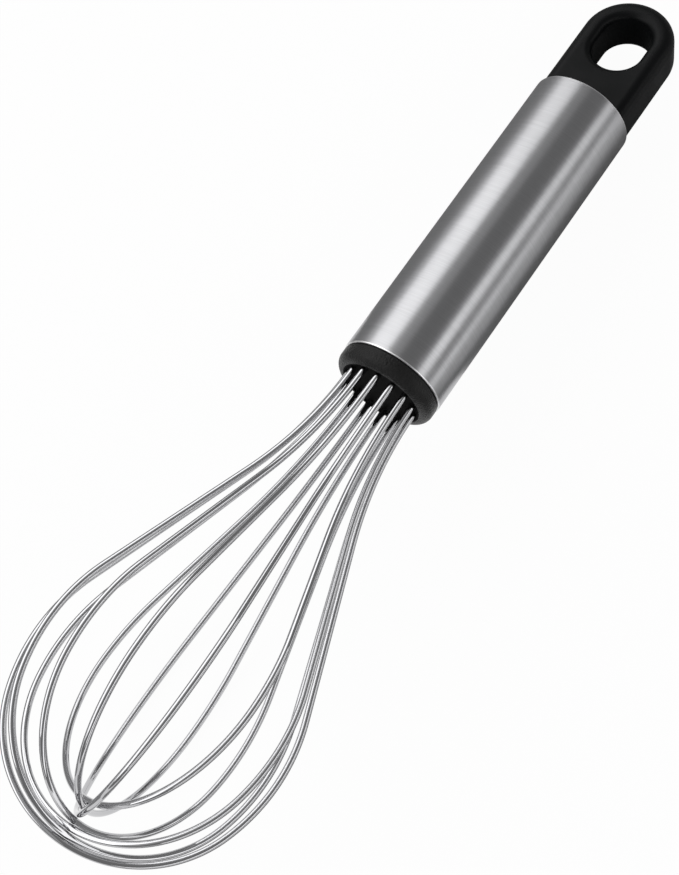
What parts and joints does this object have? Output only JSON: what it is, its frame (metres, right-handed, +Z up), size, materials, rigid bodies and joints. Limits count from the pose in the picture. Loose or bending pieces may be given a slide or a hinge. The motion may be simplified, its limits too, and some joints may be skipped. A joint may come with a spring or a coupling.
{
  "type": "balloon whisk",
  "caption": "Balloon whisk with crossed wire loops, a brushed steel tube handle, a black front collar and a black hang cap.",
  "frame": {"origin": "on the surface the whisk lies on, under the middle of its box", "axes": "+X from the hang cap to the tip of the wires, level; +Z up from the surface; the whisk's own axis rises towards the tip by 5.9 degrees, because it lies on the rear rim of its tube and on the two lowest wires"},
  "size_m": [0.2478, 0.0632, 0.0619],
  "materials": {
    "handle_steel": "brushed round the tube, with polished lips",
    "wire_steel": "polished stainless wire",
    "black_plastic": "moulded, fine satin texture",
    "retainer_steel": "stamped, bare",
    "resin": "cast"
  },
  "bodies": {
    "root": {"handle_tube": "handle_steel", "hang_cap": "black_plastic", "front_collar": "black_plastic", "wire_loop_1": "wire_steel", "wire_loop_2": "wire_steel", "wire_loop_3": "wire_steel", "wire_loop_4": "wire_steel", "wire_loop_5": "wire_steel", "wire_loop_6": "wire_steel", "wire_loop_7": "wire_steel", "wire_retainer": "retainer_steel", "sealing_resin": "resin"}
  },
  "joints": []
}
